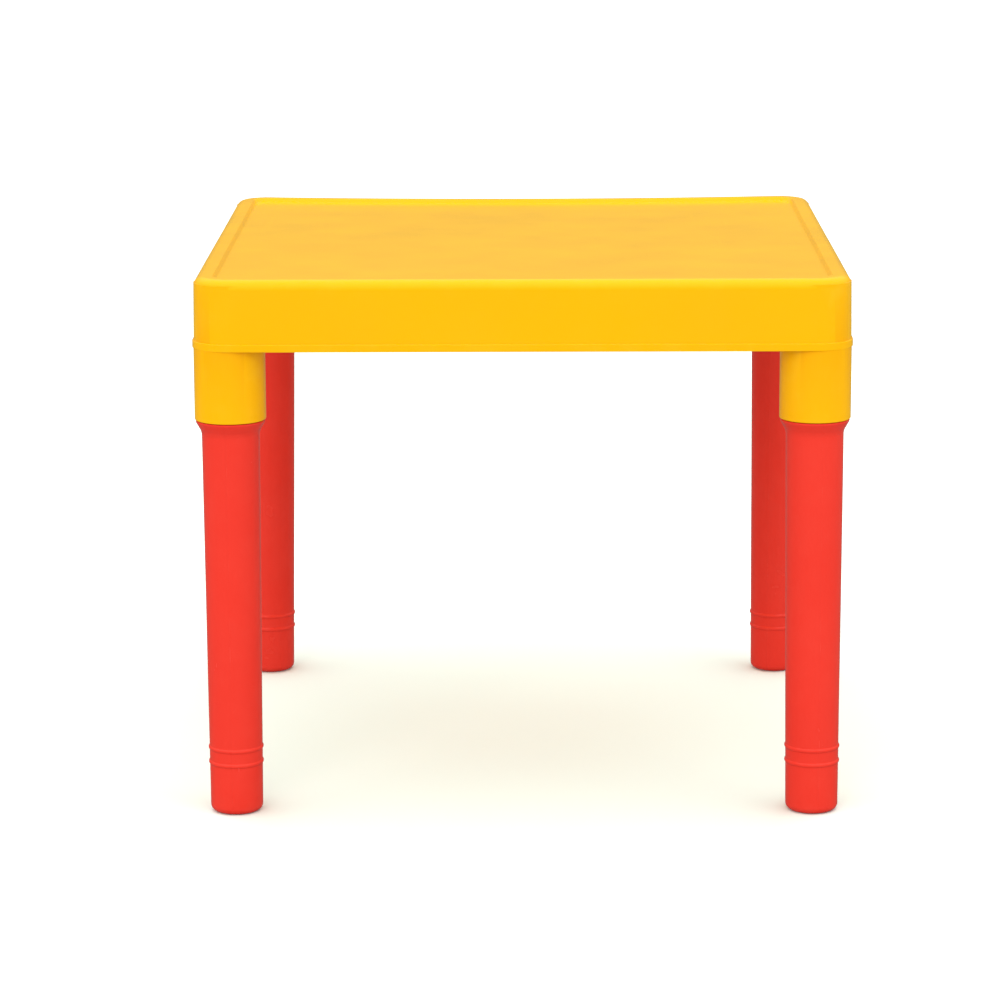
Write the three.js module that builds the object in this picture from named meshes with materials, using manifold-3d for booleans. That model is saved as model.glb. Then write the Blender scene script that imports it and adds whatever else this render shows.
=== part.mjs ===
// Children's table: a square moulded top with a corner socket over each leg, and four round plug-in legs.
// Millimetres, +Z up. The front is towards -Y. The origin is on the floor, below the middle of the top.

import * as THREE from 'three';
import { mergeVertices } from 'three/addons/utils/BufferGeometryUtils.js';
import Module from 'manifold-3d';

const wasm = await Module();
wasm.setup();

// Driving dimensions of the whole table
const tableWidth = 520;          // over the hem, the same from side to side and front to back
const tableHeight = 435;         // floor to the top of the rim
const touchGap = 0.3;            // between two pieces that bear on each other
const roundSegments = 40;        // facets around a leg, a socket and its bore
const cornerSegments = 4;        // curve steps that the outline's corner arcs are divided by

// Top: apron, hem, rim and panel
const apronHeight = 57;          // rim to the lower edge of the hem
const apronWall = 3;
const cornerRadius = 30;
const shoulderRadius = 8;        // rounding where the apron turns into the rim
const shoulderSteps = 3;
const hemProud = 1.2;            // how far the hem stands out from the apron
const hemHeight = 6;
const rimWidth = 15;             // apron face to the inner edge of the rim
const rimSlope = 3;              // how far the step from rim to panel leans in
const panelDrop = 3;             // panel below the rim
const panelThickness = 3;

// Underside ribs, a square grid
const ribThickness = 2;
const ribDepth = 3.5;
const ribPitch = 126;
const ribsEachWay = 3;

// Corner sockets
const legInset = 28;             // apron face to the leg's axis
const socketRadius = 28.2;
const socketWall = 2.4;
const socketBelowHem = 57.5;       // length that shows under the hem

// Legs
const legWall = 2.5;
const spigotLength = 50;         // plugged into the socket
const spigotChamfer = 2;
const collarRadius = 27.4;
const collarHeight = 9.5;
const collarLip = 1.2;           // straight edge at the top of the collar
const legTopRadius = 22.9;       // just under the collar
const legFootRadius = 21;
const footRounding = 5;
const beadHeights = [41, 53];    // middles of the two moulded beads
const beadProud = 0.8;
const beadWidth = 4;

// Levels and places that follow from them
const apronHalf = tableWidth / 2 - hemProud;
const hemBottom = tableHeight - apronHeight;
const panelTop = tableHeight - panelDrop;
const panelUnderside = panelTop - panelThickness;
const socketBottom = hemBottom - socketBelowHem;
const legCentre = apronHalf - legInset;
const boreRadius = socketRadius - socketWall;
const spigotRadius = boreRadius - touchGap;
const collarTop = socketBottom - touchGap;

const yellowPlastic = { color: 0xfdb913, roughness: 0.32, metalness: 0 };
const redPlastic = { color: 0xee3a2c, roughness: 0.35, metalness: 0 };

// A closed geometry as a solid that can be joined and cut
function toSolid(geometry) {
  const bare = geometry.clone();
  bare.deleteAttribute('normal');
  bare.deleteAttribute('uv');
  const merged = mergeVertices(bare, 1e-4);
  const corners = merged.index.array;
  const kept = [];
  for (let i = 0; i < corners.length; i += 3) {
    const [a, b, c] = [corners[i], corners[i + 1], corners[i + 2]];
    if (a !== b && b !== c && c !== a) kept.push(a, b, c);
  }
  const vertProperties = new Float32Array(merged.attributes.position.array);
  const mesh = new wasm.Mesh({ numProp: 3, vertProperties, triVerts: new Uint32Array(kept) });
  return new wasm.Manifold(mesh);
}

// A solid as a named sub-part with its own material
function toSubPart(name, solid, finish) {
  const { vertProperties, triVerts } = solid.getMesh();
  const indexed = new THREE.BufferGeometry();
  indexed.setAttribute('position', new THREE.BufferAttribute(new Float32Array(vertProperties), 3));
  indexed.setIndex(new THREE.BufferAttribute(new Uint32Array(triVerts), 1));
  const geometry = indexed.toNonIndexed();
  geometry.computeVertexNormals();
  const part = new THREE.Mesh(geometry, new THREE.MeshStandardMaterial(finish));
  part.name = name;
  return part;
}

// Outline of a square with round corners, centred on the origin
function roundedSquare(half, radius) {
  const flat = half - radius;
  const quarter = Math.PI / 2;
  const outline = new THREE.Shape();
  outline.absarc(flat, flat, radius, 0, quarter);
  outline.absarc(-flat, flat, radius, quarter, 2 * quarter);
  outline.absarc(-flat, -flat, radius, 2 * quarter, 3 * quarter);
  outline.absarc(flat, -flat, radius, 3 * quarter, 4 * quarter);
  outline.closePath();
  return outline;
}

// A straight-sided rounded square between two levels
function squarePrism(half, radius, bottom, top) {
  const settings = { depth: top - bottom, bevelEnabled: false, curveSegments: cornerSegments };
  const geometry = new THREE.ExtrudeGeometry(roundedSquare(half, radius), settings);
  return toSolid(geometry.translate(0, 0, bottom));
}

// An upright cylinder between two levels, on the axis (x, y)
function uprightCylinder(radius, bottom, top, x, y) {
  const geometry = new THREE.CylinderGeometry(radius, radius, top - bottom, roundSegments);
  geometry.rotateX(Math.PI / 2);
  return toSolid(geometry.translate(x, y, (bottom + top) / 2));
}

// The block that the top is hollowed from: straight apron with a round shoulder above it
function shoulderedBlock() {
  const settings = {
    depth: apronHeight,
    bevelEnabled: true,
    bevelThickness: shoulderRadius,
    bevelSize: shoulderRadius,
    bevelOffset: -shoulderRadius,
    bevelSegments: shoulderSteps,
    curveSegments: cornerSegments,
  };
  const geometry = new THREE.ExtrudeGeometry(roundedSquare(apronHalf, cornerRadius), settings);
  const block = toSolid(geometry.translate(0, 0, tableHeight - shoulderRadius - apronHeight));
  const lowerRounding = squarePrism(tableWidth, 0.1, hemBottom - 2 * shoulderRadius, hemBottom);
  return block.subtract(lowerRounding);
}

// The shallow tray inside the rim, with sides that lean in towards the panel
function panelRecess() {
  const settings = {
    depth: shoulderRadius,
    bevelEnabled: true,
    bevelThickness: panelDrop,
    bevelSize: rimSlope,
    bevelOffset: -rimSlope,
    bevelSegments: 1,
    curveSegments: cornerSegments,
  };
  const half = apronHalf - rimWidth;
  const geometry = new THREE.ExtrudeGeometry(roundedSquare(half, cornerRadius - rimWidth + rimSlope), settings);
  return toSolid(geometry.translate(0, 0, tableHeight));
}

function ribGrid() {
  const length = 2 * (apronHalf - apronWall / 2);
  const sink = panelThickness / 2;
  const height = ribDepth + sink;
  const middle = panelUnderside + sink - height / 2;
  let grid = null;
  for (let i = 0; i < ribsEachWay; i += 1) {
    const offset = (i - (ribsEachWay - 1) / 2) * ribPitch;
    const across = new THREE.BoxGeometry(length, ribThickness, height).translate(0, offset, middle);
    const along = new THREE.BoxGeometry(ribThickness, length, height).translate(offset, 0, middle);
    const cross = toSolid(across).add(toSolid(along));
    grid = grid ? grid.add(cross) : cross;
  }
  return grid;
}

function makeTableTop(corners) {
  const block = shoulderedBlock();
  const hem = squarePrism(apronHalf + hemProud, cornerRadius + hemProud, hemBottom, hemBottom + hemHeight);
  const cavity = squarePrism(apronHalf - apronWall, cornerRadius - apronWall, hemBottom - 1, panelUnderside);
  let top = block.add(hem).subtract(cavity).subtract(panelRecess()).add(ribGrid());
  for (const [x, y] of corners) {
    const inside = uprightCylinder(socketRadius, hemBottom, panelUnderside + 1, x, y).intersect(block);
    const below = uprightCylinder(socketRadius, socketBottom, hemBottom + hemHeight / 2, x, y);
    const bore = uprightCylinder(boreRadius, socketBottom - 1, panelUnderside, x, y);
    top = top.add(inside).add(below).subtract(bore);
  }
  return top;
}

// Half section of a leg, from the middle of its sole up the outside, over the open end and down the inside
function legProfile() {
  const body = (z) => legFootRadius + (legTopRadius - legFootRadius) * (z / (collarTop - collarHeight));
  const bottomArcCentre = legFootRadius - footRounding;
  const points = [new THREE.Vector2(0, 0), new THREE.Vector2(bottomArcCentre, 0)];
  for (const turn of [30, 60, 90]) {
    const angle = THREE.MathUtils.degToRad(turn);
    const r = bottomArcCentre + footRounding * Math.sin(angle);
    points.push(new THREE.Vector2(r, footRounding * (1 - Math.cos(angle))));
  }
  for (const z of beadHeights) {
    points.push(new THREE.Vector2(body(z - beadWidth / 2), z - beadWidth / 2));
    points.push(new THREE.Vector2(body(z) + beadProud, z - beadWidth / 8));
    points.push(new THREE.Vector2(body(z) + beadProud, z + beadWidth / 8));
    points.push(new THREE.Vector2(body(z + beadWidth / 2), z + beadWidth / 2));
  }
  points.push(new THREE.Vector2(legTopRadius, collarTop - collarHeight));
  points.push(new THREE.Vector2(collarRadius, collarTop - collarLip));
  points.push(new THREE.Vector2(collarRadius, collarTop));
  points.push(new THREE.Vector2(spigotRadius, collarTop));
  points.push(new THREE.Vector2(spigotRadius, collarTop + spigotLength - spigotChamfer));
  points.push(new THREE.Vector2(spigotRadius - spigotChamfer / 2, collarTop + spigotLength));
  points.push(new THREE.Vector2(spigotRadius - legWall, collarTop + spigotLength));
  points.push(new THREE.Vector2(spigotRadius - legWall, collarTop));
  points.push(new THREE.Vector2(legTopRadius - legWall, collarTop - collarHeight));
  points.push(new THREE.Vector2(legFootRadius - legWall, footRounding + legWall));
  points.push(new THREE.Vector2(bottomArcCentre, legWall));
  points.push(new THREE.Vector2(0, legWall));
  return points;
}

const table = new THREE.Group();
const front = -legCentre;
const back = legCentre;
const left = -legCentre;
const right = legCentre;
const legPlaces = {
  leg_front_left: [left, front],
  leg_front_right: [right, front],
  leg_back_left: [left, back],
  leg_back_right: [right, back],
};

table.add(toSubPart('table_top', makeTableTop(Object.values(legPlaces)), yellowPlastic));

const legSolid = toSolid(new THREE.LatheGeometry(legProfile(), roundSegments).rotateX(Math.PI / 2));
for (const [name, [x, y]] of Object.entries(legPlaces)) {
  const leg = toSubPart(name, legSolid, redPlastic);
  leg.position.set(x, y, 0);
  table.add(leg);
}

export default table;
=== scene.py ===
import math

import bmesh
import bpy
from mathutils import Matrix, Vector, noise


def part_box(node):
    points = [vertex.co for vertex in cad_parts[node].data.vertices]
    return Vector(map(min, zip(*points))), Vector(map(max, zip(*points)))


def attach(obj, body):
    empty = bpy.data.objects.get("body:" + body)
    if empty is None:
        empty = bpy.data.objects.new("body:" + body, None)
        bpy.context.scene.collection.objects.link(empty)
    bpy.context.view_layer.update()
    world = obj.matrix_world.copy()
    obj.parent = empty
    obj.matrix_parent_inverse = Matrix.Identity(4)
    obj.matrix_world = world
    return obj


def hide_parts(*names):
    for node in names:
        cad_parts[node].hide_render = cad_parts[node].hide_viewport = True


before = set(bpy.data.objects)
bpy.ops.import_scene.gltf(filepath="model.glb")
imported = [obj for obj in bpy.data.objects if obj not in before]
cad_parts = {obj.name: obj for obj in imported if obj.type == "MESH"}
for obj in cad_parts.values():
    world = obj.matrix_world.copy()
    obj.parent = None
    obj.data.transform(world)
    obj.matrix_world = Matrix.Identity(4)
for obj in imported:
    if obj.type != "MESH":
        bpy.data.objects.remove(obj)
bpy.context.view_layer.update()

# A children's table: one yellow moulding on four red plug-in legs.
# Everything is in metres, +Z up, with the front towards -Y.

mm = 0.001
weld = 1e-6              # points closer than this are one point
sharpAngle = 38          # degrees; flatter edges are shaded smooth
topLow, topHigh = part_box("table_top")
legBodies = {
    "leg_front_left": "front_left_leg",
    "leg_front_right": "front_right_leg",
    "leg_back_left": "back_left_leg",
    "leg_back_right": "back_right_leg",
}


def legAxis(node):
    low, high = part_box(node)
    return (low.x + high.x) / 2, (low.y + high.y) / 2


# the view: a long lens a little above the table, almost square on
shot = {
    "distance": 3.251,
    "aim": (-0.0198, 0.0, 0.2062),
    "down": 11.76,        # degrees the camera looks down
    "turn": -0.43,        # degrees to the right of straight ahead
    "roll": -0.21,
    "lens": 136.8,
    "sensor": 36.0,
    "farthest": 100.0,
}


def makeCamera():
    down, turn, roll = (math.radians(shot[key]) for key in ("down", "turn", "roll"))
    ahead = Vector((math.sin(turn) * math.cos(down), math.cos(turn) * math.cos(down), -math.sin(down)))
    level = Vector((math.cos(turn), -math.sin(turn), 0))
    upright = level.cross(ahead)
    across = level * math.cos(roll) + upright * math.sin(roll)
    top = upright * math.cos(roll) - level * math.sin(roll)
    data = bpy.data.cameras.new("camera")
    data.lens = shot["lens"]
    data.sensor_width = shot["sensor"]
    data.clip_end = shot["farthest"]
    camera = bpy.data.objects.new("camera", data)
    bpy.context.collection.objects.link(camera)
    turned = Matrix((across, top, -ahead)).transposed().to_4x4()
    camera.matrix_world = Matrix.Translation(Vector(shot["aim"]) - ahead * shot["distance"]) @ turned
    bpy.context.scene.camera = camera


# the studio: a pale floor, a soft sky and broad lamps
studio = {
    "floorSize": 80.0,
    "floorRoughness": 0.9,
    "floorColour": (0.92, 0.92, 0.92),
    "floorBounce": (0.55, 0.55, 0.55),     # what the floor sends back up on to the table
    "skyColour": (0.84, 1.0, 0.92, 1),
    "horizonLight": 0.30,     # even light from the sky, level and overhead
    "zenithLight": 2.02,
    "mirrorFront": 0.02,      # what the gloss sees: towards the viewer, away from them, and overhead
    "mirrorBack": 0.22,
    "mirrorTop": 1.8,
    "backFade": (-0.3, 0.9),  # directions along Y and Z between which the mirrored sky changes
    "topFade": (0.2, 1.0),
    "sunColour": (1.0, 0.88, 0.84),
    "suns": {
        # name: direction it comes from, strength, degrees across
        "keySun": ((-0.2, -1.0, 0.45), 0.90, 36),
        "fillSun": ((1.0, -0.40, 0.6), 0.40, 60),
        "leftSun": ((-1.0, -0.25, 0.5), 0.28, 60),
    },
}


def makeStudio():
    bm = bmesh.new()
    bmesh.ops.create_grid(bm, x_segments=1, y_segments=1, size=studio["floorSize"] / 2)
    mesh = bpy.data.meshes.new("floor")
    bm.to_mesh(mesh)
    bm.free()
    floor = bpy.data.objects.new("floor", mesh)
    bpy.context.collection.objects.link(floor)
    material = bpy.data.materials.new("paleFloor")
    material.use_nodes = True
    tree = material.node_tree
    shader = tree.nodes["Principled BSDF"]
    tone = tree.nodes.new("ShaderNodeMix")
    tone.data_type = "RGBA"
    tone.inputs[6].default_value = (*studio["floorBounce"], 1)
    tone.inputs[7].default_value = (*studio["floorColour"], 1)
    seen = tree.nodes.new("ShaderNodeLightPath").outputs["Is Camera Ray"]
    tree.links.new(seen, tone.inputs[0])
    tree.links.new(tone.outputs[2], shader.inputs["Base Color"])
    shader.inputs["Roughness"].default_value = studio["floorRoughness"]
    shader.inputs["Specular IOR Level"].default_value = 0.0
    mesh.materials.append(material)
    floor.visible_glossy = False

    for name, (source, strength, across) in studio["suns"].items():
        data = bpy.data.lights.new(name, "SUN")
        data.energy = strength
        data.color = studio["sunColour"]
        data.angle = math.radians(across)
        sun = bpy.data.objects.new(name, data)
        bpy.context.collection.objects.link(sun)
        sun.matrix_world = (-Vector(source)).to_track_quat("-Z", "Y").to_matrix().to_4x4()
        sun.visible_glossy = False
    makeSky()
    bpy.context.scene.view_settings.view_transform = "Standard"


# the sky lights from all round, brighter overhead, and its mirror image is darkest on the viewer's side
def makeSky():
    world = bpy.data.worlds.new("studioSky")
    bpy.context.scene.world = world
    world.use_nodes = True
    tree = world.node_tree
    world.cycles.sampling_method = "NONE"      # so that gloss only meets the sky's mirror image
    sky = tree.nodes["Background"]
    sky.inputs["Color"].default_value = studio["skyColour"]
    parts = tree.nodes.new("ShaderNodeSeparateXYZ")
    tree.links.new(tree.nodes.new("ShaderNodeTexCoord").outputs["Generated"], parts.inputs[0])

    def fade(axis, start, end, low, high):
        node = tree.nodes.new("ShaderNodeMapRange")
        for socket, value in zip(node.inputs[1:5], (start, end, low, high)):
            socket.default_value = value
        tree.links.new(parts.outputs[axis], node.inputs["Value"])
        return node.outputs["Result"]

    mirrored = tree.nodes.new("ShaderNodeMath")
    mirrored.operation = "ADD"
    towardsBack = fade("Y", *studio["backFade"], studio["mirrorFront"], studio["mirrorBack"])
    tree.links.new(towardsBack, mirrored.inputs[0])
    tree.links.new(fade("Z", *studio["topFade"], 0, studio["mirrorTop"]), mirrored.inputs[1])
    choose = tree.nodes.new("ShaderNodeMix")
    path = tree.nodes.new("ShaderNodeLightPath")
    tree.links.new(path.outputs["Is Glossy Ray"], choose.inputs["Factor"])
    tree.links.new(fade("Z", 0, 1, studio["horizonLight"], studio["zenithLight"]), choose.inputs["A"])
    tree.links.new(mirrored.outputs[0], choose.inputs["B"])
    tree.links.new(choose.outputs["Result"], sky.inputs["Strength"])


yellowPlastic = {
    "colour": (0.98, 0.452, 0.001),
    "deepColour": (0.98, 0.440, 0.001),
    "wornColour": (1.0, 0.52, 0.02),
    # a darker colour mixed into inside corners: painted shade
    "paintedShadeColour": (0.93, 0.395, 0.001),
    "specular": 0.16,
    "roughness": (0.19, 0.26),
    "cloudScale": 7.0,        # size of the faint colour clouds, per metre
    "grainScale": 1400.0,     # fine orange peel
    "grainHeight": 0.05,
    "scratchHeight": 0.015,
}

redPlastic = {
    "colour": (0.88, 0.041, 0.026),
    "deepColour": (0.86, 0.037, 0.023),
    "wornColour": (0.92, 0.075, 0.05),
    # a darker colour mixed into inside corners: painted shade
    "paintedShadeColour": (0.66, 0.024, 0.015),
    "specular": 0.25,
    "roughness": (0.19, 0.27),
    "cloudScale": 12.0,
    "grainScale": 1200.0,
    "grainHeight": 0.06,
    "scratchHeight": 0.012,
}

# what both plastics share; each fade is the pair of noise levels between which a mark comes up
surfaceMarks = {
    "cloudFade": (0.35, 0.68),
    "patchScale": 55.0,           # rubbed patches along edges
    "patchFade": (0.48, 0.66),
    "rubbedShare": 0.35,
    "rubbedRoughness": 0.12,
    # how much of the painted corner shade is mixed in
    "paintedShadeShare": 0.9,
    "scratches": (
        # scale, stretch, turn in radians, fade
        (160.0, (1, 0.035, 0.3), 0.5, (0.68, 0.74)),
        (140.0, (0.04, 1, 0.3), -0.35, (0.69, 0.75)),
    ),
    "scratchRoughness": 0.015,
    "scratchDepth": 0.1 * mm,
    "glossScale": 18.0,
    "glossFade": (0.3, 0.7),
    "grainDepth": 0.2 * mm,
    "ior": 1.49,
    "wearAngle": 25,              # degrees an outside edge turns to be fully worn
    "paintedShadeAngles": (24, 44),     # degrees an inside corner turns to get some painted shade, and all of it
}


def mouldedPlastic(name, recipe):
    material = bpy.data.materials.new(name)
    material.use_nodes = True
    tree = material.node_tree
    shader = tree.nodes["Principled BSDF"]
    coords = tree.nodes.new("ShaderNodeTexCoord").outputs["Object"]
    marks = surfaceMarks

    def add(kind, **values):
        node = tree.nodes.new(kind)
        for key, value in values.items():
            setattr(node, key, value)
        return node

    def cloud(scale, detail, stretch=(1, 1, 1), turn=(0, 0, 0)):
        mapping = add("ShaderNodeMapping")
        mapping.inputs["Scale"].default_value = stretch
        mapping.inputs["Rotation"].default_value = turn
        texture = add("ShaderNodeTexNoise")
        texture.inputs["Scale"].default_value = scale
        texture.inputs["Detail"].default_value = detail
        tree.links.new(coords, mapping.inputs["Vector"])
        tree.links.new(mapping.outputs["Vector"], texture.inputs["Vector"])
        return texture.outputs["Fac"]

    def ramp(source, start, end, low=0.0, high=1.0):
        node = add("ShaderNodeMapRange", clamp=True)
        node.inputs["From Min"].default_value = start
        node.inputs["From Max"].default_value = end
        node.inputs["To Min"].default_value = low
        node.inputs["To Max"].default_value = high
        tree.links.new(source, node.inputs["Value"])
        return node.outputs["Result"]

    def combine(operation, first, second):
        node = add("ShaderNodeMath", operation=operation)
        for socket, value in zip(node.inputs, (first, second)):
            if isinstance(value, float):
                socket.default_value = value
            else:
                tree.links.new(value, socket)
        return node.outputs[0]

    def blendColours(factor, first, second):
        node = add("ShaderNodeMix", data_type="RGBA")
        ends = (node.inputs[0], node.inputs[6], node.inputs[7])
        for socket, value in zip(ends, (factor, first, second)):
            if isinstance(value, tuple):
                socket.default_value = (*value, 1)
            else:
                tree.links.new(value, socket)
        return node.outputs[2]

    # faint clouds where the melt flowed
    clouds = ramp(cloud(recipe["cloudScale"], 3), *marks["cloudFade"])
    colour = blendColours(clouds, recipe["colour"], recipe["deepColour"])

    # edges rub lighter, in patches
    wear = add("ShaderNodeAttribute", attribute_name="edgeWear").outputs["Fac"]
    patches = ramp(cloud(marks["patchScale"], 4), *marks["patchFade"])
    rubbed = combine("MULTIPLY", combine("MULTIPLY", wear, patches), marks["rubbedShare"])
    colour = blendColours(rubbed, colour, recipe["wornColour"])

    # and inside corners are painted darker: painted shade
    cornerShade = add("ShaderNodeAttribute", attribute_name="paintedCornerShade").outputs["Fac"]
    paintedShade = combine("MULTIPLY", cornerShade, marks["paintedShadeShare"])
    colour = blendColours(paintedShade, colour, recipe["paintedShadeColour"])
    tree.links.new(colour, shader.inputs["Base Color"])

    # hairline scratches run two ways and scuff the gloss
    hairlines = [
        ramp(cloud(scale, 2, stretch, (0, 0, turn)), *fade)
        for scale, stretch, turn, fade in marks["scratches"]
    ]
    scratches = combine("MAXIMUM", *hairlines)
    gloss = ramp(cloud(marks["glossScale"], 4), *marks["glossFade"], *recipe["roughness"])
    gloss = combine("ADD", gloss, combine("MULTIPLY", scratches, marks["scratchRoughness"]))
    gloss = combine("ADD", gloss, combine("MULTIPLY", rubbed, marks["rubbedRoughness"]))
    tree.links.new(gloss, shader.inputs["Roughness"])

    # fine grain of the mould face, with the scratches cut into it
    grain = add("ShaderNodeBump")
    grain.inputs["Strength"].default_value = recipe["grainHeight"]
    grain.inputs["Distance"].default_value = marks["grainDepth"]
    tree.links.new(cloud(recipe["grainScale"], 2), grain.inputs["Height"])
    cut = add("ShaderNodeBump", invert=True)
    cut.inputs["Strength"].default_value = recipe["scratchHeight"]
    cut.inputs["Distance"].default_value = marks["scratchDepth"]
    tree.links.new(scratches, cut.inputs["Height"])
    tree.links.new(grain.outputs["Normal"], cut.inputs["Normal"])
    tree.links.new(cut.outputs["Normal"], shader.inputs["Normal"])
    shader.inputs["IOR"].default_value = marks["ior"]
    shader.inputs["Specular IOR Level"].default_value = recipe["specular"]
    return material


def finishPiece(name, bm, material):
    markWearAndCornerShade(bm)
    mesh = bpy.data.meshes.new(name)
    bm.to_mesh(mesh)
    bm.free()
    mesh.shade_smooth()
    mesh.set_sharp_from_angle(angle=math.radians(sharpAngle))
    mesh.materials.clear()
    mesh.materials.append(material)
    piece = bpy.data.objects.new(name, mesh)
    bpy.context.collection.objects.link(piece)
    evened = piece.modifiers.new("evenNormals", "WEIGHTED_NORMAL")
    evened.keep_sharp = True
    return piece


# how strongly each point sits on an outside edge or in an inside corner, from 0 to 1; the inside-corner
# value drives painted shade
def markWearAndCornerShade(bm):
    wear = bm.verts.layers.float.new("edgeWear")
    # inside corners: the mask for painted shade
    cornerShade = bm.verts.layers.float.new("paintedCornerShade")
    fullWear = surfaceMarks["wearAngle"]
    recessStart, recessFull = surfaceMarks["paintedShadeAngles"]
    for vert in bm.verts:
        bends = [edge.calc_face_angle_signed() for edge in vert.link_edges if len(edge.link_faces) == 2]
        outwards = math.degrees(max(bends + [0.0]))
        inwards = -math.degrees(min(bends + [0.0]))
        vert[wear] = min(1.0, outwards / fullWear)
        vert[cornerShade] = min(1.0, max(0.0, inwards - recessStart) / (recessFull - recessStart))


# steps along an arc: the course turns from one angle to another
# 90 degrees is straight up the wall, 0 is level and inwards, -90 is straight down
def turnSteps(radius, start, end, count):
    sense = 1 if end > start else -1
    steps = []
    for i in range(count):
        a = math.radians(start + (end - start) * i / count)
        b = math.radians(start + (end - start) * (i + 1) / count)
        inset = sense * radius * (math.sin(b) - math.sin(a))
        rise = sense * radius * (math.cos(a) - math.cos(b))
        steps.append((inset, rise))
    return steps


def straightSteps(inset, rise, count=1):
    return [(inset / count, rise / count)] * count


# grows a wall from a flat face, one inset ring for each step
def walkFace(bm, face, steps):
    for inset, rise in steps:
        bmesh.ops.inset_region(bm, faces=[face], thickness=inset, depth=rise, use_even_offset=True)


# a rounded half section turned right round an upright axis
# corners: radius, height, rounding; a corner of radius 0 lies on the axis
def turnSection(bm, corners, around, steps, roundSteps=5):
    verts = [bm.verts.new((r, 0, z)) for r, z, rounding in corners]
    bm.faces.new(verts)
    groups = {}
    for vert, (r, z, rounding) in zip(verts, corners):
        if rounding:
            groups.setdefault(rounding, []).append(vert)
    for rounding, group in groups.items():
        bmesh.ops.bevel(bm, geom=group, offset=rounding, offset_type="OFFSET", segments=roundSteps,
                        profile=0.5, affect="VERTICES", material=-1)
    bmesh.ops.delete(bm, geom=bm.faces[:], context="FACES_ONLY")
    onAxis = [e for e in bm.edges if all(abs(v.co.x) < weld / 10 for v in e.verts)]
    bmesh.ops.delete(bm, geom=onAxis, context="EDGES")
    bmesh.ops.spin(bm, geom=bm.verts[:] + bm.edges[:], cent=(0, 0, 0), axis=(0, 0, 1),
                   angle=math.tau, steps=steps, use_merge=True, use_duplicate=False)
    bmesh.ops.remove_doubles(bm, verts=bm.verts[:], dist=weld)
    bmesh.ops.recalc_face_normals(bm, faces=bm.faces[:])
    bmesh.ops.translate(bm, verts=bm.verts[:], vec=around)


# cuts the whole mesh along a plane, and keeps both sides
def slicePlane(bm, place, direction):
    bmesh.ops.bisect_plane(bm, geom=bm.verts[:] + bm.edges[:] + bm.faces[:], dist=weld,
                           plane_co=place, plane_no=direction)


def looseObject(name, bm):
    mesh = bpy.data.meshes.new(name)
    bm.to_mesh(mesh)
    bm.free()
    made = bpy.data.objects.new(name, mesh)
    bpy.context.collection.objects.link(made)
    return made


# joins other solids to a first one and gives back the result as a new bmesh
def uniteSolids(first, others):
    for other in others:
        joined = first.modifiers.new("unite", "BOOLEAN")
        joined.operation = "UNION"
        joined.solver = "MANIFOLD"
        joined.object = other
    graph = bpy.context.evaluated_depsgraph_get()
    mesh = bpy.data.meshes.new_from_object(first.evaluated_get(graph))
    bm = bmesh.new()
    bm.from_mesh(mesh)
    for done in [first, *others]:
        bpy.data.objects.remove(done)
    return bm


topMoulding = {
    "hemHeight": 6 * mm,
    "hemProud": 1.2 * mm,
    "hemRounding": 0.6 * mm,
    "hemFillet": 0.35 * mm,
    "apronHeight": 57 * mm,
    "apronDraft": 0.5 * mm,
    "cornerRadius": 31.2 * mm,     # at the hem
    "cornerSteps": 18,
    "shoulder": 8 * mm,
    "rimFlat": 6.4 * mm,
    "rimTurn": 1.5 * mm,           # roundings above and below the step
    "stepAngle": 45,
    "panelDrop": 3 * mm,
    "wall": 3 * mm,
    "panelThickness": 3 * mm,
    "ceilingFillet": 1.5 * mm,
    "ribPitch": 126 * mm,
    "ribThickness": 2 * mm,
    "ribDepth": 3.5 * mm,
    "ribRounding": 0.5 * mm,
    "bossRadius": 5 * mm,
    "bossProud": 0.1 * mm,         # a boss stands this far below the ribs
    "bossSink": 1 * mm,            # and starts this far inside the panel
    "bossRounding": 0.6 * mm,
    "bossSteps": 32,
    "gateRadius": 6 * mm,
    "backLift": 1.0 * mm,          # the moulding has warped: back corners up, front edge down
    "frontDrop": 0.8 * mm,
    "backSag": 2.6 * mm,           # and the middle of the back edge hangs
    "panelSag": 0.8 * mm,
    "warpCurve": 1.5,              # a higher power keeps the warp nearer the edges
    "gridCuts": 26,
}

socket = {
    "radius": 28.2 * mm,
    "wall": 2.4 * mm,
    "lipRounding": 0.9 * mm,
    "hiddenStep": 0.9 * mm,        # narrower where it runs up behind the apron
    "steps": 96,
}


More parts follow.
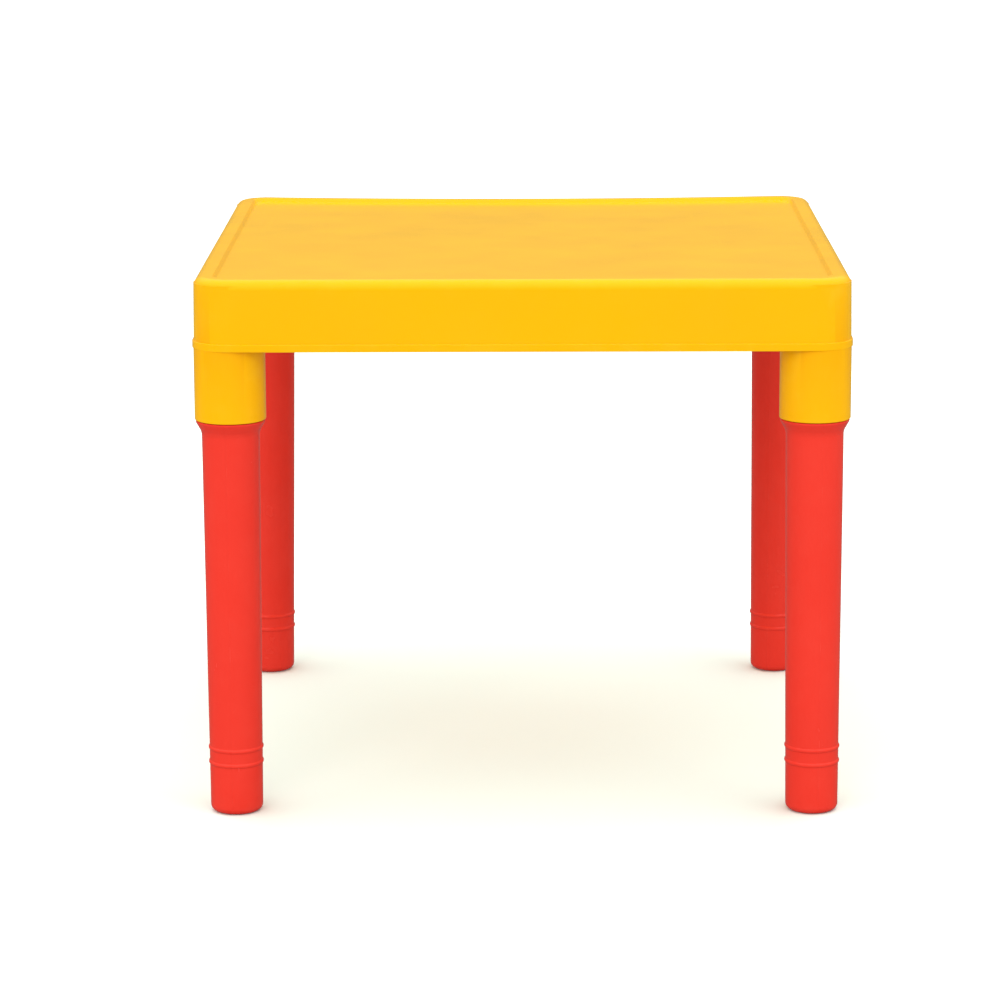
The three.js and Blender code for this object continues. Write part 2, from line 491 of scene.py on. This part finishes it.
def outerShell():
    t = topMoulding
    hemBottom = topHigh.z - t["apronHeight"]
    hemWall = t["hemHeight"] - 2 * t["hemRounding"]
    bm = bmesh.new()
    bmesh.ops.create_cube(bm, size=1)
    bmesh.ops.scale(bm, verts=bm.verts[:], vec=(topHigh.x - topLow.x, topHigh.y - topLow.y, hemWall))
    middle = hemBottom + t["hemRounding"] + hemWall / 2
    bmesh.ops.translate(bm, verts=bm.verts[:], vec=(0, 0, middle))
    corners = [e for e in bm.edges if abs(e.verts[0].co.z - e.verts[1].co.z) > hemWall / 2]
    bmesh.ops.bevel(bm, geom=corners, offset=t["cornerRadius"], offset_type="OFFSET",
                    segments=t["cornerSteps"], profile=0.5, affect="EDGES", material=-1)
    bm.normal_update()
    upper = max(bm.faces, key=lambda f: f.normal.z * f.calc_area())
    lower = min(bm.faces, key=lambda f: f.normal.z * f.calc_area())

    drop = t["rimTurn"] * (1 - math.cos(math.radians(t["stepAngle"])))
    slope = t["panelDrop"] - 2 * drop
    apronWall = t["apronHeight"] - t["hemHeight"] - t["hemFillet"] - t["shoulder"]
    walkFace(bm, upper, [
        *turnSteps(t["hemRounding"], 90, 0, 4),
        *straightSteps(t["hemProud"] - t["hemRounding"] - t["hemFillet"], 0),
        *turnSteps(t["hemFillet"], 0, 90, 3),
        *straightSteps(t["apronDraft"], apronWall, 4),
        *turnSteps(t["shoulder"], 90, 0, 12),
        *straightSteps(t["rimFlat"], 0),
        *turnSteps(t["rimTurn"], 0, -t["stepAngle"], 4),
        *straightSteps(slope / math.tan(math.radians(t["stepAngle"])), -slope),
        *turnSteps(t["rimTurn"], -t["stepAngle"], 0, 4),
    ])

    underside = topHigh.z - t["panelDrop"] - t["panelThickness"]
    innerWall = underside - hemBottom - t["hemRounding"] - t["ceilingFillet"]
    walkFace(bm, lower, [
        *turnSteps(t["hemRounding"], 90, 0, 4),
        *straightSteps(t["hemProud"] + t["wall"] - 2 * t["hemRounding"], 0),
        *turnSteps(t["hemRounding"], 0, -90, 4),
        *straightSteps(t["apronDraft"], -innerWall, 3),
        *turnSteps(t["ceilingFillet"], -90, 0, 4),
    ])
    return looseObject("outerShell", bm)


def socketTube(place):
    t = topMoulding
    hemBottom = topHigh.z - t["apronHeight"]
    ceiling = topHigh.z - t["panelDrop"] - t["panelThickness"] / 2
    outer, inner, lip = socket["radius"], socket["radius"] - socket["wall"], socket["lipRounding"]
    narrow = outer - socket["hiddenStep"]
    stepHeight = hemBottom + t["hemHeight"] / 2
    bm = bmesh.new()
    turnSection(bm, [
        (outer, topLow.z, lip),
        (outer, stepHeight, 0),
        (narrow, stepHeight, 0),
        (narrow, ceiling, 0),
        (inner, ceiling, 0),
        (inner, topLow.z, lip),
    ], (*place, 0), socket["steps"])
    return looseObject("socketTube", bm)


def underRibs():
    t = topMoulding
    underside = topHigh.z - t["panelDrop"] - t["panelThickness"]
    length = topHigh.x - topLow.x - 2 * t["hemProud"] - t["wall"]
    sink = t["panelThickness"] / 2
    made = []
    for along in (0, 1):
        for k in (-1, 0, 1):
            bm = bmesh.new()
            bmesh.ops.create_cube(bm, size=1)
            size = (length, t["ribThickness"], t["ribDepth"] + sink)
            bmesh.ops.scale(bm, verts=bm.verts[:], vec=size)
            place = (0, k * t["ribPitch"], underside + sink - size[2] / 2)
            bmesh.ops.translate(bm, verts=bm.verts[:], vec=place)
            low = [e for e in bm.edges if all(v.co.z < underside for v in e.verts)
                   and abs(e.verts[0].co.x - e.verts[1].co.x) > length / 2]
            bmesh.ops.bevel(bm, geom=low, offset=t["ribRounding"], offset_type="OFFSET", segments=3,
                            profile=0.5, affect="EDGES", material=-1)
            quarter = Matrix.Rotation(along * math.pi / 2, 3, "Z")
            bmesh.ops.rotate(bm, verts=bm.verts[:], cent=(0, 0, 0), matrix=quarter)
            made.append(looseObject("rib", bm))
    return made


# round bosses where the ribs cross, and the stub the melt came in by
def underBosses():
    t = topMoulding
    underside = topHigh.z - t["panelDrop"] - t["panelThickness"]
    inside = underside + t["bossSink"]
    foot = underside - t["ribDepth"] - t["bossProud"]
    made = []
    for x in (-1, 0, 1):
        for y in (-1, 0, 1):
            radius = t["gateRadius"] if x == y == 0 else t["bossRadius"]
            bm = bmesh.new()
            turnSection(bm, [
                (0, inside, 0),
                (0, foot, 0),
                (radius, foot, t["bossRounding"]),
                (radius, inside, 0),
            ], (x * t["ribPitch"], y * t["ribPitch"], 0), t["bossSteps"], 3)
            made.append(looseObject("boss", bm))
    return made


def makeTop(material):
    t = topMoulding
    sockets = [socketTube(legAxis(node)) for node in legBodies]
    bm = uniteSolids(outerShell(), sockets + underRibs() + underBosses())

    # a grid of cuts gives the broad faces points to sag by
    half = topHigh.x
    for axis in ((1, 0, 0), (0, 1, 0)):
        for i in range(1, t["gridCuts"]):
            place = Vector(axis) * (2 * half * i / t["gridCuts"] - half)
            slicePlane(bm, place, axis)
    apronFoot = topHigh.z - t["apronHeight"]
    for vert in bm.verts:
        x, y = vert.co.x / half, vert.co.y / half
        level = min(1.0, max(0.0, (vert.co.z - apronFoot) / (t["apronHeight"] - t["shoulder"])))
        towardsBack = max(0.0, y) ** t["warpCurve"]
        towardsFront = max(0.0, -y) ** t["warpCurve"]
        warp = t["backLift"] * towardsBack - t["frontDrop"] * towardsFront
        hang = t["backSag"] * (1 - x * x) * towardsBack + t["panelSag"] * (1 - x * x) * (1 - y * y)
        vert.co.z += level ** t["warpCurve"] * (warp - hang)
    top = finishPiece("tableTopMoulding", bm, material)
    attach(top, "top")
    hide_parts("table_top")
    return top


leg = {
    "collarHeight": 9.5 * mm,
    "collarLip": 1.4 * mm,
    "collarEdge": 0.5 * mm,        # rounding where the lip meets the cone
    "collarRounding": 0.8 * mm,    # top edge of the collar, which makes a groove below the socket
    "collarNeck": 2.6 * mm,        # rounding between collar and leg
    "topRadius": 22.9 * mm,
    "footRadius": 21.0 * mm,
    "footRounding": 5.5 * mm,
    "wall": 2.5 * mm,
    "beads": (41 * mm, 53 * mm),
    "beadProud": 0.8 * mm,
    "beadHalf": 1.7 * mm,
    "beadFlat": 0.45,              # share of its height that stays fully proud
    "beadRounding": 0.6 * mm,
    "fineRounding": 0.4 * mm,
    "socketGap": 0.5 * mm,
    "socketClearance": 0.3 * mm,
    "spigotChamfer": 2 * mm,
    "spigotRounding": 0.8 * mm,
    "boreRounding": 2 * mm,
    "crushRib": 0.2 * mm,
    "crushRibs": 6,
    "crushRibHalf": 0.02,          # share of the spacing between ribs
    "flash": 0.10 * mm,            # ridge where the mould halves met
    "flashHalf": 0.45 * mm,
    "footFlash": 1.8,              # the ridge is this much stronger near the foot
    "footFlashHeight": 30 * mm,
    "waver": 0.12 * mm,            # how unevenly the wall shrank, and over what size
    "waverScale": 18,
    "ringHeights": [20, 38, 44, 50, 56, 90, 130, 170, 210, 250, 280, 303, 308, 350],    # mm
    "steps": 96,
}

# how each leg stands: degrees its mould seam is turned from the front, and how far its foot strays
legSetting = {
    "leg_front_left": {"seam": -5, "stray": (-0.3 * mm, 0)},
    "leg_front_right": {"seam": 12, "stray": (1.2 * mm, 0)},
    "leg_back_left": {"seam": 28, "stray": (-3.0 * mm, 0)},
    "leg_back_right": {"seam": -20, "stray": (0, 0)},
}


def makeLeg(node, material):
    low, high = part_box(node)
    collarTop = topLow.z - leg["socketGap"]
    collarBottom = collarTop - leg["collarHeight"]
    collarRadius = (high.x - low.x) / 2
    spigotRadius = socket["radius"] - socket["wall"] - leg["socketClearance"]
    wall = leg["wall"]
    fine = leg["fineRounding"]

    def bodyRadius(z):
        return leg["footRadius"] + (leg["topRadius"] - leg["footRadius"]) * z / collarBottom

    corners = [(0, 0, 0), (leg["footRadius"], 0, leg["footRounding"])]
    for bead in leg["beads"]:
        half = leg["beadHalf"]
        corners += [
            (bodyRadius(bead - half), bead - half, fine),
            (bodyRadius(bead) + leg["beadProud"], bead - half * leg["beadFlat"], leg["beadRounding"]),
            (bodyRadius(bead) + leg["beadProud"], bead + half * leg["beadFlat"], leg["beadRounding"]),
            (bodyRadius(bead + half), bead + half, fine),
        ]
    corners += [
        (leg["topRadius"], collarBottom, leg["collarNeck"]),
        (collarRadius, collarTop - leg["collarLip"], leg["collarEdge"]),
        (collarRadius, collarTop, leg["collarRounding"]),
        (spigotRadius, collarTop, 0.0),
        (spigotRadius, high.z - leg["spigotChamfer"], leg["spigotRounding"]),
        (spigotRadius - leg["spigotChamfer"] / 2, high.z, fine),
        (spigotRadius - wall, high.z, fine),
        (spigotRadius - wall, collarTop, leg["boreRounding"]),
        (leg["topRadius"] - wall, collarBottom, leg["boreRounding"]),
        (leg["footRadius"] - wall, wall, leg["footRounding"] / 2),
        (0, wall, 0),
    ]
    bm = bmesh.new()
    turnSection(bm, corners, (0, 0, 0), leg["steps"], 6)

    # rings let the long walls waver, and two cuts leave a narrow strip for the seam
    for height in leg["ringHeights"]:
        slicePlane(bm, (0, 0, height * mm), (0, 0, 1))
    for side in (-1, 1):
        slicePlane(bm, (0, side * leg["flashHalf"], 0), (0, 1, 0))

    ribSpacing = math.tau / leg["crushRibs"]
    for vert in bm.verts:
        radius = math.hypot(vert.co.x, vert.co.y)
        if radius < 0.1 * mm:          # the middle of the sole stays put
            continue
        grow = 0.0
        ribTurns = math.atan2(vert.co.y, vert.co.x) / ribSpacing
        onSeam = abs(vert.co.y) < 0.01 * mm
        belowSocket = vert.co.z < collarTop - 1 * mm
        outside = radius > bodyRadius(vert.co.z) - wall / 2
        if belowSocket and outside:
            if onSeam and vert.co.z > 1 * mm:
                nearFoot = vert.co.z < leg["footFlashHeight"]
                grow = leg["flash"] * (leg["footFlash"] if nearFoot else 1.0)
            grow += leg["waver"] * noise.noise(vert.co * leg["waverScale"])
        elif vert.co.z > collarTop + 2 * mm and radius > spigotRadius - 0.1 * mm:
            if abs(ribTurns - round(ribTurns)) < leg["crushRibHalf"]:
                grow = leg["crushRib"]
        vert.co.x *= 1 + grow / radius
        vert.co.y *= 1 + grow / radius

    turn = math.radians(legSetting[node]["seam"] - 90)
    bmesh.ops.rotate(bm, verts=bm.verts[:], cent=(0, 0, 0), matrix=Matrix.Rotation(turn, 3, "Z"))
    strayX, strayY = legSetting[node]["stray"]
    for vert in bm.verts:
        lean = max(0.0, 1 - vert.co.z / collarBottom)
        vert.co.x += strayX * lean
        vert.co.y += strayY * lean
    bmesh.ops.translate(bm, verts=bm.verts[:], vec=(*legAxis(node), 0))
    words = node.split("_")
    made = finishPiece("redLeg" + words[1].title() + words[2].title(), bm, material)
    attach(made, legBodies[node])
    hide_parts(node)


makeCamera()
makeStudio()
print("camera, lamps and floor are set")
makeTop(mouldedPlastic("yellowPlastic", yellowPlastic))
print("table top is made")
redMaterial = mouldedPlastic("redPlastic", redPlastic)
for legNode in legBodies:
    makeLeg(legNode, redMaterial)
    print(legNode, "is made")
